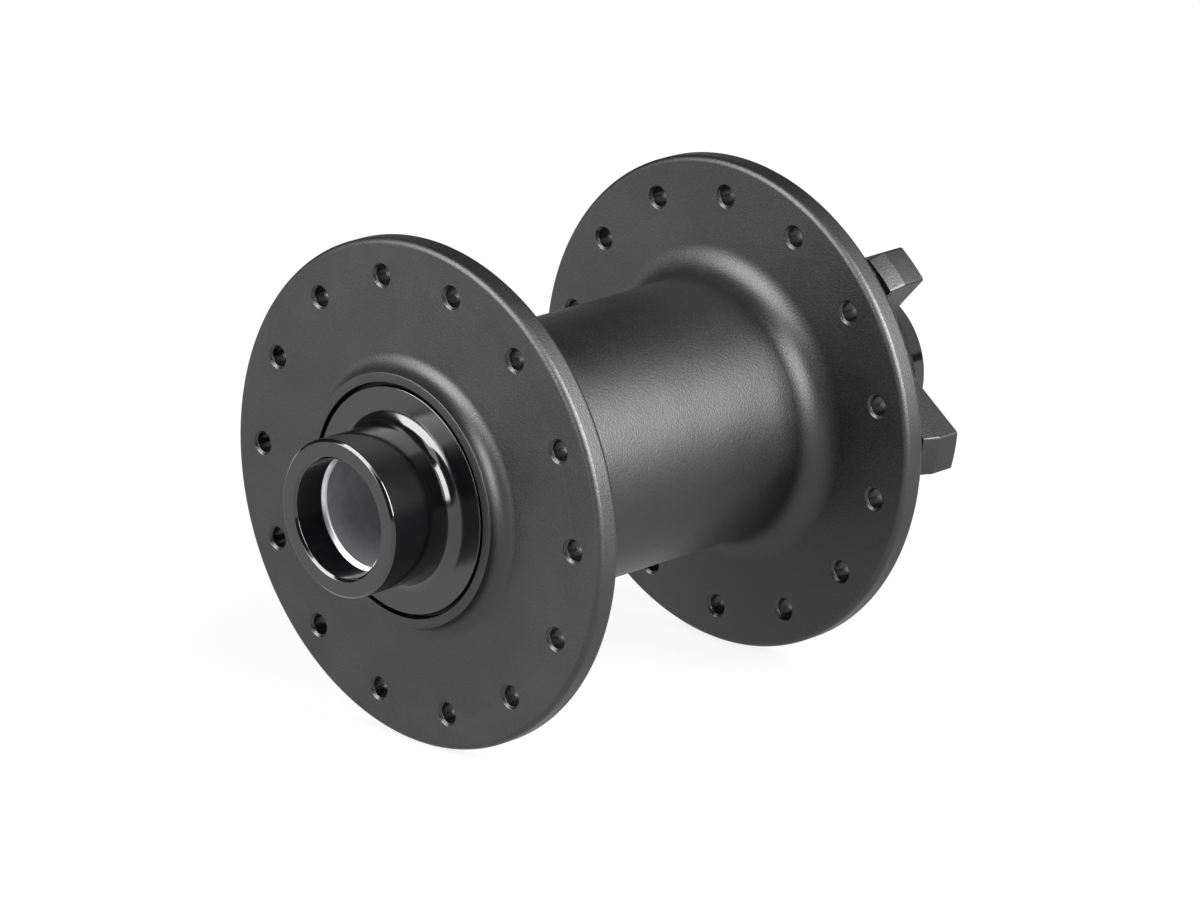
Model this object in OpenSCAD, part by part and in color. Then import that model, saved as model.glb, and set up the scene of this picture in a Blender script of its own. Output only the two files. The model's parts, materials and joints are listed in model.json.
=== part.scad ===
// Front hub of a bicycle wheel: 15 mm through axle, 100 mm between the fork's dropouts,
// 28 bent-head spokes, disc rotor on six bolts.
// The hub's axis is the Y axis, with the origin at its middle.
// +Y is the left side with the rotor mount, -Y the right side, and +Z is up.
// Stations along the axle are measured from the middle. Angles run from +X towards +Z.

/* [Axle and ends] */
// Distance between the fork's dropouts, over both end caps
over_locknut_w = 100; // [96:0.5:104]
// Bore of the axle tube, for the through axle
axle_bore_d = 15.1; // [15.05:0.05:15.3]
// Outside of the axle tube where the bearings and the caps sit
axle_seat_d = 17; // [17:0.01:17.05]
// Outside of the axle tube's shoulders that the inner races rest against
axle_shoulder_d = 19.6; // [18.6:0.1:20]
// Outside of the axle tube between the shoulders
axle_waist_d = 18; // [17.4:0.1:18.4]
// Length of each shoulder
axle_shoulder_l = 4; // [2:0.5:8]
// Depth from the cap's end face to the end of the axle tube
axle_end_inset = 4.7; // [4:0.1:6]
// Chamfer in the mouth of the axle tube
axle_chamfer = 0.5; // [0.2:0.05:0.6]

/* [Spoke flanges] */
// Number of spoke holes in each flange
spoke_holes = 14; // [10:1:18]
// Diameter of the circle that the spoke holes stand on
spoke_pcd = 58; // [56:0.5:60]
// Outside of the flanges
flange_d = 67.8; // [66:0.1:70]
// Thickness of each flange at its spoke holes
flange_w = 3.4; // [3:0.1:4]
// Rounding of the flange's rim
rim_round = 0.8; // [0.6:0.1:1.5]
// Middle of the right flange, from the right end face
right_flange_inset = 15.3; // [15:0.1:15.6]
// Middle of the left flange, from the left end face
left_flange_inset = 27.8; // [27:0.1:30]
// Spoke hole through the flange
spoke_hole_d = 2.6; // [2.4:0.1:2.8]
// Mouth of the spoke hole's countersinks
spoke_mouth_d = 3.3; // [3.1:0.1:4]
// Angle of the first spoke hole in the right flange
right_hole_turn = -1.6; // [-12:0.1:12]
// Height of the low cone between the right flange's spoke holes and its lip
flange_cone_h = 0.4; // [0:0.1:0.8]

/* [Barrel] */
// Outside of the barrel between the flanges
barrel_d = 36; // [35:0.1:37]
// Radius of the sweep from the barrel into each flange
barrel_sweep = 4; // [3:0.5:6]
// Bore of the shell beside each bearing, which is the bearing's shoulder
shoulder_bore_d = 25.6; // [25:0.1:26.5]
// Wider bore in the middle of the barrel
barrel_bore_d = 29.6; // [27:0.1:30]
// Length of each bearing's shoulder
shoulder_l = 8; // [5:0.5:12]
// Outside of the lips around the end caps
lip_d = 33.9; // [33.6:0.1:34.5]
// Recess in each lip that takes the end cap's base flange
recess_d = 31.2; // [30.8:0.1:31.4]
// How far the right lip stands proud of the cap's base flange
lip_proud = 0.1; // [0:0.05:0.3]
// Radius of the hollow between each lip and its flange
lip_hollow = 2.2; // [1:0.1:2.4]

/* [Rotor mount] */
// Distance from the left end face to the face that the rotor rests on
rotor_inset = 10.5; // [10:0.1:11]
// Circle of the rotor bolts
rotor_pcd = 44; // [43.8:0.1:44.2]
// Number of rotor bolts
rotor_bolts = 6; // [6:1:6]
// Tapping hole for the rotor bolts
rotor_hole_d = 4.2; // [4:0.1:4.4]
// Outside of the six tabs
tab_d = 52; // [51:0.5:54]
// Thickness of the tabs
tab_w = 5.8; // [4.5:0.1:6]
// Length of the straight part of a tab's outer end
tab_land = 3.6; // [2:0.1:4]
// How far the rest of the outer end slopes in
tab_slope = 0.9; // [0.3:0.1:1.2]
// Angle of the first tab's middle
tab_turn = -12; // [-20:0.1:20]
// Outside of the neck between the left flange and the rotor face
neck_d = 35.8; // [35.7:0.1:36]
// Rotor pilot, which centres the rotor
pilot_d = 35.4; // [35.3:0.05:35.4]
// Height of the left end of the shell above the rotor face
pilot_h = 1; // [0.6:0.1:1.2]

/* [End caps] */
// Outside of the cap's stem, which sits in the fork's dropout
cap_stem_d = 21; // [20.8:0.1:21.2]
// Bore through the cap's outer end
cap_mouth_d = 15.8; // [15.6:0.1:16]
// Base flange of the cap
cap_base_d = 30.2; // [30:0.1:30.4]
// Thickness of the base flange
cap_base_w = 1.2; // [0.8:0.1:1.4]
// Distance from the end face to the base flange's outer face
cap_stem_l = 10.8; // [10.6:0.1:11]
// Radius of the hollow between stem and base flange
cap_hollow = 1.8; // [1:0.1:2]
// Chamfer on the cap's outer end
cap_chamfer = 0.35; // [0.1:0.05:0.5]
// Thickness of the O-ring inside the cap
o_ring_w = 1; // [0.8:0.1:1]
// Distance from the end face to the middle of the O-ring
o_ring_inset = 7.8; // [6.5:0.1:9]

/* [Bearings] */
// Outside of the cartridge bearings
bearing_d = 28; // [27.9:0.1:28]
// Width of the cartridge bearings
bearing_w = 7; // [6.8:0.1:7]
// Distance from each end face to the bearing's outboard face
bearing_inset = 13; // [12.9:0.1:13.3]
// Ball diameter
ball_d = 3.5; // [3.3:0.05:3.5]
// Number of balls in each bearing
balls = 13; // [9:1:14]
// Outside of the inner race's lands
inner_land_d = 20.2; // [19.8:0.1:20.4]
// Inside of the outer race's lands
outer_land_d = 24.8; // [24.4:0.1:25]

/* [Hidden] */
$fn = 96;

// Running clearances on the radius
ball_gap = 0.05;
seal_gap = 0.05;
sleeve_gap = 0.05;

end_y = over_locknut_w / 2;
right_flange_y = end_y - right_flange_inset;
left_flange_y = end_y - left_flange_inset;
left_hole_turn = right_hole_turn + 180 / spoke_holes;
flange_r = flange_d / 2;
spoke_r = spoke_pcd / 2;
lip_r = lip_d / 2;
recess_r = recess_d / 2;
barrel_r = barrel_d / 2;
bearing_r = bearing_d / 2;
seat_r = axle_seat_d / 2;
rotor_y = end_y - rotor_inset;
neck_r = neck_d / 2;
pilot_r = pilot_d / 2;
pilot_y = rotor_y + pilot_h;
tab_front_y = rotor_y - tab_w;
bearing_out_y = end_y - bearing_inset;
bearing_y = bearing_out_y - bearing_w;
bearing_mid_y = bearing_out_y - bearing_w / 2;
pitch_r = (axle_seat_d + bearing_d) / 4;
cap_base_y = end_y - cap_stem_l;
cap_back_y = cap_base_y - cap_base_w;
right_lip_y = cap_base_y + lip_proud;
tube_end_y = end_y - axle_end_inset;
small_chamfer = 0.3;
edge_break = 0.1;
face_gap = 0.1;
recess_floor_y = bearing_out_y + face_gap;
steps = 6;
// How far a cutter runs past what it cuts
over = 1;

black = "#3b3b3d";
gloss = "#161617";
bare = "#b9bbbd";
steel = "#9a9ea3";
rubber = "#1b1b1b";
polymer = "#6b5a3c";

// Points of an arc about [x, y], from one angle to another
function arc(x, y, r, from, to, n = steps) =
    [for (i = [0:n]) let (a = from + (to - from) * i / n) [x + r * cos(a), y + r * sin(a)]];

// A profile of [radius, station] points turned about the hub's axis
module turned() {
    rotate([-90, 0, 0])
        rotate_extrude()
            children();
}

// Children drawn along +X, carried round to an angle
module at_angle(a) {
    rotate([0, -a, 0])
        children();
}

// Children drawn on the left side, mirrored to the right
module right_side() {
    mirror([0, 1, 0])
        children();
}

// One flange's rim, from its inner face round to its outer face
function rim(mid_y) = concat(
    arc(flange_r - rim_round, mid_y - flange_w / 2 + rim_round, rim_round, -90, 0),
    arc(flange_r - rim_round, mid_y + flange_w / 2 - rim_round, rim_round, 0, 90)
);

// Outer face of a flange down to its lip or neck of radius r
function flange_back(mid_y, r, cone_h) = let (
    face = mid_y + flange_w / 2,
    foot = face + cone_h
) concat(
    [[spoke_r, face]],
    arc(r + lip_hollow, foot + lip_hollow, lip_hollow, -90, -180)
);

// The left half of the shell's outside, from the middle out
function left_half() = concat(
    [[0, 0], [barrel_r, 0]],
    arc(barrel_r + barrel_sweep, left_flange_y - flange_w / 2 - barrel_sweep, barrel_sweep, 180, 90),
    rim(left_flange_y),
    flange_back(left_flange_y, neck_r, 0),
    [
        [neck_r, rotor_y],
        [pilot_r, rotor_y],
        [pilot_r, pilot_y - small_chamfer],
        [pilot_r - small_chamfer, pilot_y],
        [0, pilot_y],
    ]
);

// The right half of the shell's outside, drawn as if it were a left one
function right_half() = concat(
    [[0, 0], [barrel_r, 0]],
    arc(barrel_r + barrel_sweep, right_flange_y - flange_w / 2 - barrel_sweep, barrel_sweep, 180, 90),
    rim(right_flange_y),
    [
        for (p = flange_back(right_flange_y, lip_r, flange_cone_h))
            if (p[1] < right_lip_y - 2 * edge_break) p
    ],
    [
        [lip_r, right_lip_y - edge_break],
        [lip_r - edge_break, right_lip_y],
        [0, right_lip_y],
    ]
);

// What is bored out of one end of the shell
function bore_half(lip_y) = let (
    wide_r = barrel_bore_d / 2,
    shoulder_r = shoulder_bore_d / 2,
    wide_y = bearing_y - shoulder_l
) [
    [0, -over],
    [wide_r, -over],
    [wide_r, wide_y - (wide_r - shoulder_r)],
    [shoulder_r, wide_y],
    [shoulder_r, bearing_y],
    [bearing_r, bearing_y],
    [bearing_r, recess_floor_y],
    [recess_r, recess_floor_y],
    [recess_r, lip_y - edge_break],
    [recess_r + edge_break, lip_y],
    [recess_r + edge_break, lip_y + over],
    [0, lip_y + over],
];

// A spoke hole with a countersink in both faces, along Y
module spoke_cutter() {
    sink = (spoke_mouth_d - spoke_hole_d) / 2;
    half = flange_w / 2;
    rotate([-90, 0, 0])
        rotate_extrude()
            polygon([
                [0, -half - over],
                [spoke_mouth_d / 2 + over, -half - over],
                [spoke_hole_d / 2, -half + sink],
                [spoke_hole_d / 2, half - sink],
                [spoke_mouth_d / 2 + over, half + over],
                [0, half + over],
            ]);
}

// The ring of spoke holes of one flange
module spoke_ring(mid_y, turn) {
    for (i = [0:spoke_holes - 1])
        at_angle(turn + i * 360 / spoke_holes)
            translate([spoke_r, mid_y, 0])
                spoke_cutter();
}

/* One rotor tab is a lobe with unequal sides. Its steep side is nearly radial. Its long side
   runs back towards the neck, and hollows soften both roots. */
tab_sink = 0.6;
tab_root_r = neck_r - tab_sink;
tab_corner = 0.4;
tab_half = 2.85;
steep_lean = -2;
long_lean = 25;
root_hollow = 3;
nose_half = asin((tab_half - tab_corner) / (tab_d / 2 - tab_corner));

// Middle of the rounding at a tab's corner, on the side given by s
function corner_x() = sqrt(pow(tab_d / 2 - tab_corner, 2) - pow(tab_half - tab_corner, 2));

// Middle of the hollow at a tab's root. The flank leans by the given angle
function root_mid(s, lean) = let (
    far = neck_r + root_hollow,
    // distance of the flank's line from the axis, along its normal
    d = corner_x() * sin(lean) + (tab_half - tab_corner) * cos(lean) + tab_corner + root_hollow,
    along = sqrt(far * far - d * d)
) [
    along * cos(lean) + d * sin(lean),
    s * (d * cos(lean) - along * sin(lean)),
];

// Outline of one tab about +X, from its steep side round to its long side
function tab_outline() = let (
    steep = root_mid(-1, steep_lean),
    long = root_mid(1, long_lean),
    steep_foot = atan2(steep[1], steep[0]),
    long_foot = atan2(long[1], long[0])
) concat(
    [[tab_root_r * cos(steep_foot), tab_root_r * sin(steep_foot)]],
    arc(steep[0], steep[1], root_hollow, steep_foot + 180, 90 + steep_lean),
    arc(corner_x(), -(tab_half - tab_corner), tab_corner, steep_lean - 90, -nose_half),
    arc(0, 0, tab_d / 2, -nose_half, nose_half, 2),
    arc(corner_x(), tab_half - tab_corner, tab_corner, nose_half, 90 - long_lean),
    arc(long[0], long[1], root_hollow, -90 - long_lean, long_foot - 180),
    [[tab_root_r * cos(long_foot), tab_root_r * sin(long_foot)]]
);

// One tab standing on the neck
module rotor_tab() {
    rotate([90, 0, 0])
        translate([0, 0, -rotor_y])
            linear_extrude(tab_w)
                polygon(concat([[0, 0]], tab_outline()));
}

// The six tabs, trimmed to their outer ends' slope
module rotor_tabs() {
    intersection() {
        for (i = [0:rotor_bolts - 1])
            at_angle(tab_turn + i * 360 / rotor_bolts)
                rotor_tab();
        turned()
            polygon([
                [0, tab_front_y - over],
                [tab_d / 2 - tab_slope * (1 + over / (tab_w - tab_land)), tab_front_y - over],
                [tab_d / 2, rotor_y - tab_land],
                [tab_d / 2, rotor_y + over],
                [0, rotor_y + over],
            ]);
    }
}

// Angle from a tab's middle to its bolt hole
rotor_hole_turn = 2.4;

// The tapped holes that take the rotor bolts
module rotor_holes() {
    for (i = [0:rotor_bolts - 1])
        at_angle(tab_turn + rotor_hole_turn + i * 360 / rotor_bolts)
            translate([rotor_pcd / 2, tab_front_y - over, 0])
                rotate([-90, 0, 0])
                    cylinder(d = rotor_hole_d, h = tab_w + 2 * over, $fn = 32);
}

module hub_shell() {
    color(black)
        difference() {
            union() {
                turned()
                    polygon(left_half());
                right_side()
                    turned()
                        polygon(right_half());
                rotor_tabs();
            }
            turned()
                polygon(bore_half(pilot_y));
            right_side()
                turned()
                    polygon(bore_half(right_lip_y));
            spoke_ring(left_flange_y, left_hole_turn);
            spoke_ring(-right_flange_y, right_hole_turn);
            rotor_holes();
        }
}

// One end of the axle tube's wall, from the waist out to the mouth
function tube_wall() = [
    [axle_waist_d / 2, bearing_y - axle_shoulder_l],
    [axle_shoulder_d / 2, bearing_y - axle_shoulder_l],
    [axle_shoulder_d / 2, bearing_y],
    [seat_r, bearing_y],
    [seat_r, tube_end_y - small_chamfer],
    [seat_r - small_chamfer, tube_end_y],
    [axle_bore_d / 2 + axle_chamfer, tube_end_y],
    [axle_bore_d / 2, tube_end_y - axle_chamfer],
];

module axle_tube() {
    wall = tube_wall();
    color(bare)
        turned()
            polygon(concat(wall, [for (i = [len(wall) - 1:-1:0]) [wall[i][0], -wall[i][1]]]));
}

// O-ring place inside the cap
o_ring_y = end_y - o_ring_inset;
o_ring_mid_r = seat_r + sleeve_gap + o_ring_w / 2;
groove_r = o_ring_mid_r + o_ring_w / 2;
groove_w = o_ring_w + 0.3;
cap_nose_r = inner_land_d / 2 - edge_break;
cap_sleeve_r = 10.4;
cap_nose_l = 0.2;

module end_cap() {
    socket_r = seat_r + sleeve_gap;
    mouth_r = cap_mouth_d / 2;
    stem_r = cap_stem_d / 2;
    base_r = cap_base_d / 2;
    color(gloss)
        turned()
            polygon(concat(
                [
                    [socket_r, bearing_out_y],
                    [cap_nose_r, bearing_out_y],
                    [cap_nose_r, bearing_out_y + cap_nose_l],
                    [cap_sleeve_r, bearing_out_y + cap_nose_l],
                    [cap_sleeve_r, cap_back_y],
                    [base_r, cap_back_y],
                    [base_r, cap_base_y - edge_break],
                    [base_r - edge_break, cap_base_y],
                ],
                arc(stem_r + cap_hollow, cap_base_y + cap_hollow, cap_hollow, -90, -180),
                [
                    [stem_r, end_y - cap_chamfer],
                    [stem_r - cap_chamfer, end_y],
                    [mouth_r + cap_chamfer, end_y],
                    [mouth_r, end_y - cap_chamfer],
                    [mouth_r, tube_end_y + sleeve_gap],
                    [socket_r, tube_end_y + sleeve_gap],
                    [socket_r, o_ring_y + groove_w / 2],
                    [groove_r, o_ring_y + groove_w / 2],
                    [groove_r, o_ring_y - groove_w / 2],
                    [socket_r, o_ring_y - groove_w / 2],
                ]
            ));
}

module cap_o_ring() {
    color(rubber)
        turned()
            translate([o_ring_mid_r, o_ring_y])
                circle(d = o_ring_w, $fn = 32);
}

// Lip seal pressed into the shell's recess, its lip on the cap's sleeve
seal_w = 0.6;
lip_seal_w = 0.35;
seal_rim_w = 1.2;
seal_rise_w = 0.4;
module dust_seal() {
    seal_y = recess_floor_y + face_gap;
    color(rubber)
        turned()
            polygon([
                [cap_sleeve_r + seal_gap, seal_y],
                [recess_r, seal_y],
                [recess_r, seal_y + seal_w],
                [recess_r - seal_rim_w, seal_y + seal_w],
                [recess_r - seal_rim_w - seal_rise_w, seal_y + lip_seal_w],
                [cap_sleeve_r + seal_gap, seal_y + lip_seal_w],
            ]);
}

module inner_race() {
    color(steel)
        turned()
            difference() {
                polygon([
                    [seat_r, bearing_y + small_chamfer],
                    [seat_r + small_chamfer, bearing_y],
                    [inner_land_d / 2, bearing_y],
                    [inner_land_d / 2, bearing_out_y],
                    [seat_r + small_chamfer, bearing_out_y],
                    [seat_r, bearing_out_y - small_chamfer],
                ]);
                translate([pitch_r, bearing_mid_y])
                    circle(r = ball_d / 2 + ball_gap, $fn = 64);
            }
}

// Step in each end of the outer race, in which the seals sit
seal_step_r = 12.9;
seal_step_w = 0.95;
seal_inset = 0.2;
seal_plate_w = 0.6;
lip_thin = 0.15;
lip_foot = 0.4;
lip_root = 0.6;
lip_top = 0.9;

module outer_race() {
    land_r = outer_land_d / 2;
    color(steel)
        turned()
            difference() {
                polygon([
                    [bearing_r, bearing_y + small_chamfer],
                    [bearing_r - small_chamfer, bearing_y],
                    [seal_step_r, bearing_y],
                    [seal_step_r, bearing_y + seal_step_w],
                    [land_r, bearing_y + seal_step_w],
                    [land_r, bearing_out_y - seal_step_w],
                    [seal_step_r, bearing_out_y - seal_step_w],
                    [seal_step_r, bearing_out_y],
                    [bearing_r - small_chamfer, bearing_out_y],
                    [bearing_r, bearing_out_y - small_chamfer],
                ]);
                translate([pitch_r, bearing_mid_y])
                    circle(r = ball_d / 2 + ball_gap, $fn = 64);
            }
}

// Children drawn at one ball's place, repeated at every ball
module at_balls() {
    for (i = [0:balls - 1])
        at_angle(i * 360 / balls)
            translate([pitch_r, bearing_mid_y, 0])
                children();
}

module ball_set() {
    color(steel)
        at_balls()
            sphere(d = ball_d, $fn = 48);
}

// Crown cage: a ring behind the balls with fingers between them, and a round pocket for each ball
cage_half = 0.78;
cage_front = 0.9;
cage_back = 2.25;
module ball_cage() {
    color(polymer)
        difference() {
            turned()
                translate([pitch_r - cage_half, bearing_mid_y - cage_front])
                    square([2 * cage_half, cage_front + cage_back]);
            at_balls()
                rotate([0, 90, 0])
                    cylinder(r = ball_d / 2 + ball_gap, h = 4 * cage_half, center = true, $fn = 48);
        }
}

module outboard_seal() {
    tip_r = inner_land_d / 2 + seal_gap;
    out_y = bearing_out_y - seal_inset;
    color(rubber)
        turned()
            polygon([
                [tip_r, out_y - seal_plate_w + lip_thin],
                [tip_r + lip_foot, out_y - seal_plate_w],
                [seal_step_r, out_y - seal_plate_w],
                [seal_step_r, out_y],
                [tip_r + lip_top, out_y],
                [tip_r + lip_root, out_y - lip_thin],
                [tip_r, out_y - lip_thin],
            ]);
}

// Children of a bearing's outboard side, turned over to its inboard side
module inboard_side() {
    translate([0, 2 * bearing_mid_y, 0])
        mirror([0, 1, 0])
            children();
}

module right_end_cap() {
    right_side()
        end_cap();
}

module left_end_cap() {
    end_cap();
}

module right_cap_o_ring() {
    right_side()
        cap_o_ring();
}

module left_cap_o_ring() {
    cap_o_ring();
}

module right_dust_seal() {
    right_side()
        dust_seal();
}

module left_dust_seal() {
    dust_seal();
}

module right_inner_race() {
    right_side()
        inner_race();
}

module left_inner_race() {
    inner_race();
}

module right_outer_race() {
    right_side()
        outer_race();
}

module left_outer_race() {
    outer_race();
}

module right_balls() {
    right_side()
        ball_set();
}

module left_balls() {
    ball_set();
}

module right_ball_cage() {
    right_side()
        ball_cage();
}

module left_ball_cage() {
    ball_cage();
}

module right_outboard_seal() {
    right_side()
        outboard_seal();
}

module left_outboard_seal() {
    outboard_seal();
}

module right_inboard_seal() {
    right_side()
        inboard_side()
            outboard_seal();
}

module left_inboard_seal() {
    inboard_side()
        outboard_seal();
}

hub_shell();
axle_tube();
right_end_cap();
left_end_cap();
right_cap_o_ring();
left_cap_o_ring();
right_dust_seal();
left_dust_seal();
right_inner_race();
left_inner_race();
right_outer_race();
left_outer_race();
right_balls();
left_balls();
right_ball_cage();
left_ball_cage();
right_outboard_seal();
left_outboard_seal();
right_inboard_seal();
left_inboard_seal();
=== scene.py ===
"""Dresses a bicycle front hub: drilled shell, axle tube, two end caps and two cartridge bearings.

Sizes are in millimetres and become metres when a mesh is made. The hub's axis is the Y axis, +Y is
the left side with the rotor mount, -Y the right side and +Z is up. Angles about the axis run from
+X towards +Z, and stations along it are measured from the hub's middle.
"""

import json
import logging
import math
from dataclasses import dataclass
from enum import Enum
from functools import partial

import bmesh
import bpy
from mathutils import Matrix, Vector


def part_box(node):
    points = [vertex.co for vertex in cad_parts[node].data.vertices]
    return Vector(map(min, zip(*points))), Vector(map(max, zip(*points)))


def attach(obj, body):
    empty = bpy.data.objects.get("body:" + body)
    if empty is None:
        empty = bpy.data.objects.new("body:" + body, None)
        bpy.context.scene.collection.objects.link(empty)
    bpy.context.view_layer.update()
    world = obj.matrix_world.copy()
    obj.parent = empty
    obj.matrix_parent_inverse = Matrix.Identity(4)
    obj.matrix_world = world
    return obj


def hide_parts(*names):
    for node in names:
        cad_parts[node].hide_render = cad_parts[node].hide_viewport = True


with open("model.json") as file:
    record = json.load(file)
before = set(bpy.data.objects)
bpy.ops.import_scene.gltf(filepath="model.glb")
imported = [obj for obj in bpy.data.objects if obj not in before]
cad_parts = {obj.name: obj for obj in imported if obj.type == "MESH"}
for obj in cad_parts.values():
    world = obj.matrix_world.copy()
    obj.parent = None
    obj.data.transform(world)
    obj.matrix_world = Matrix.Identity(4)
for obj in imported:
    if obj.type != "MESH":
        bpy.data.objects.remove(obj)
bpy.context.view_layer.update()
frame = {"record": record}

MM = 0.001
# Largest turn from one point of a profile to the next, in degrees, doubled on the smallest edges
ARC_STEP = 9.0
BROKEN_EDGE = 0.15
# How far a cutter reaches past the piece that it cuts
OVER = 1.0
# Corners of a closed grid closer than this many metres become one
WELD_DISTANCE = 1e-7
MATH = "ShaderNodeMath"
# The middle of a noise's values, which a Map Range node spreads
NOISE_SPAN = {"From Min": 0.3, "From Max": 0.7}
# Places of the colour sockets on a Mix node, whose names its other types share
MIX_SHARE, MIX_FIRST, MIX_SECOND, MIX_RESULT = 0, 6, 7, 2
log = logging.getLogger("hub")

Tree = bpy.types.NodeTree
Node = bpy.types.Node
Socket = bpy.types.NodeSocket
Piece = bpy.types.Object
Material = bpy.types.Material
Inputs = dict[str | int, object]


class Side(Enum):
    """The two ends of the hub, with the sign of their stations."""

    RIGHT = -1
    LEFT = 1

    @property
    def word(self) -> str:
        """The side's name as the CAD nodes and bodies write it."""
        return self.name.lower()


class Cut(Enum):
    """What a ring of tools does to the piece it meets."""

    DRILL = "DIFFERENCE"
    WELD = "UNION"


@dataclass(frozen=True)
class Corner:
    """A corner of a turned profile, with the radius that rounds it off."""

    radius: float
    station: float
    rounding: float = 0.0


def arc(
    radius: float, station: float, bend: float, start: float, end: float, step: float = ARC_STEP
) -> list[Corner]:
    """Corners along an arc of a profile.

    Args:
        radius: Distance of the arc's centre from the axis.
        station: Station of the arc's centre.
        bend: Radius of the arc.
        start: First angle in degrees, from the outward direction towards +Y.
        end: Last angle in degrees.
        step: Largest turn from one corner to the next, in degrees.

    Returns:
        The corners from start to end.
    """
    count = max(2, math.ceil(abs(end - start) / step))
    angles = [math.radians(start + (end - start) * i / count) for i in range(count + 1)]
    return [Corner(radius + bend * math.cos(a), station + bend * math.sin(a)) for a in angles]


def rounded(corners: list[Corner]) -> list[Vector]:
    """Rounds the corners of a closed profile.

    Args:
        corners: The profile's corners in order.

    Returns:
        The profile's points as (radius, station).
    """
    points: list[Vector] = []
    for i, corner in enumerate(corners):
        here = Vector((corner.radius, corner.station))
        if corner.rounding == 0:
            points.append(here)
            continue
        before, after = corners[i - 1], corners[(i + 1) % len(corners)]
        back = (Vector((before.radius, before.station)) - here).normalized()
        ahead = (Vector((after.radius, after.station)) - here).normalized()
        half = back.angle(ahead) / 2
        centre = here + (back + ahead).normalized() * corner.rounding / math.sin(half)
        first = here + back * corner.rounding / math.tan(half) - centre
        last = here + ahead * corner.rounding / math.tan(half) - centre
        turn = first.angle_signed(last)
        step = ARC_STEP * (2 if corner.rounding <= BROKEN_EDGE else 1)
        count = max(2, math.ceil(math.degrees(abs(turn)) / step))
        for k in range(count + 1):
            points.append(centre + Matrix.Rotation(-turn * k / count, 2) @ first)
    return points


def mirrored(corners: list[Corner], side: Side) -> list[Corner]:
    """The same corners on the given side, for a profile drawn on the left."""
    return [Corner(c.radius, c.station * side.value, c.rounding) for c in corners]


def add_node(tree: Tree, kind: str, inputs: Inputs, **settings: object) -> Node:
    """Adds one node to a tree.

    Args:
        tree: The shader or geometry tree.
        kind: The node's type name.
        inputs: For each input, by name or place, a value, an output socket, or a node that stands
            for its first output.
        settings: Values for the node's own properties.

    Returns:
        The new node.
    """
    node = tree.nodes.new(kind)
    for name, value in settings.items():
        setattr(node, name, value)
    for name, value in inputs.items():
        if isinstance(value, Node):
            tree.links.new(value.outputs[0], node.inputs[name])
        elif isinstance(value, Socket):
            tree.links.new(value, node.inputs[name])
        else:
            node.inputs[name].default_value = value
    return node


def new_tree(name: str, sockets: dict[str, tuple[str, object]]) -> tuple[Tree, Node]:
    """Starts a geometry tree.

    Args:
        name: The tree's name.
        sockets: Socket type and default value for each named input after the geometry.

    Returns:
        The tree and its input node.
    """
    tree = bpy.data.node_groups.new(name, "GeometryNodeTree")
    tree.interface.new_socket("Geometry", in_out="INPUT", socket_type="NodeSocketGeometry")
    for label, (kind, default) in sockets.items():
        socket = tree.interface.new_socket(label, in_out="INPUT", socket_type=kind)
        if default is not None:
            socket.default_value = default
    tree.interface.new_socket("Geometry", in_out="OUTPUT", socket_type="NodeSocketGeometry")
    return tree, tree.nodes.new("NodeGroupInput")


def end_tree(tree: Tree, geometry: Node, material: Socket) -> None:
    """Ends a geometry tree in real meshes with their material.

    Args:
        tree: The tree to end.
        geometry: The node whose geometry comes out.
        material: The socket that gives the material.
    """
    real = add_node(tree, "GeometryNodeRealizeInstances", {"Geometry": geometry})
    painted = add_node(tree, "GeometryNodeSetMaterial", {"Geometry": real, "Material": material})
    add_node(tree, "NodeGroupOutput", {0: painted})


def lathe_tree() -> Tree:
    """Builds the tree that turns a profile of points about the Y axis.

    Returns:
        The tree. Its grid has one column of vertices for each step of the turn and one row for each
        point of the profile, and the last column is welded to the first.
    """
    tree, source = new_tree(
        "lathe",
        {
            "Profile": ("NodeSocketObject", None),
            "Segments": ("NodeSocketInt", 96),
            "Material": ("NodeSocketMaterial", None),
        },
    )
    add = partial(add_node, tree)
    segments = source.outputs["Segments"]
    outline = add("GeometryNodeObjectInfo", {"Object": source.outputs["Profile"]}).outputs["Geometry"]
    size = add("GeometryNodeAttributeDomainSize", {0: outline}, component="MESH")
    columns = add(MATH, {0: segments, 1: 1.0}, operation="ADD")
    grid = add("GeometryNodeMeshGrid", {"Vertices X": columns, "Vertices Y": size})
    index = add("GeometryNodeInputIndex", {})
    row = add(MATH, {0: index, 1: size}, operation="FLOORED_MODULO")
    # Half a step more keeps the column clear of rounding errors
    halfway = add(MATH, {0: index, 1: 0.5}, operation="ADD")
    columns_passed = add(MATH, {0: halfway, 1: size}, operation="DIVIDE")
    column = add(MATH, {0: columns_passed}, operation="FLOOR")
    share = add(MATH, {0: column, 1: segments}, operation="DIVIDE")
    turn = add(MATH, {0: share, 1: math.tau}, operation="MULTIPLY")
    sample = add(
        "GeometryNodeSampleIndex",
        {"Geometry": outline, "Value": add("GeometryNodeInputPosition", {}), "Index": row},
        data_type="FLOAT_VECTOR",
        domain="POINT",
    )
    point = add("ShaderNodeSeparateXYZ", {0: sample})
    cosine = add(MATH, {0: turn}, operation="COSINE")
    sine = add(MATH, {0: turn}, operation="SINE")
    across = add(MATH, {0: point.outputs["X"], 1: cosine}, operation="MULTIPLY")
    upward = add(MATH, {0: point.outputs["X"], 1: sine}, operation="MULTIPLY")
    target = add("ShaderNodeCombineXYZ", {0: across, 1: point.outputs["Y"], 2: upward})
    moved = add("GeometryNodeSetPosition", {"Geometry": grid, "Position": target})
    welded = add("GeometryNodeMergeByDistance", {"Geometry": moved, "Distance": WELD_DISTANCE})
    end_tree(tree, welded, source.outputs["Material"])
    return tree


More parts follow.
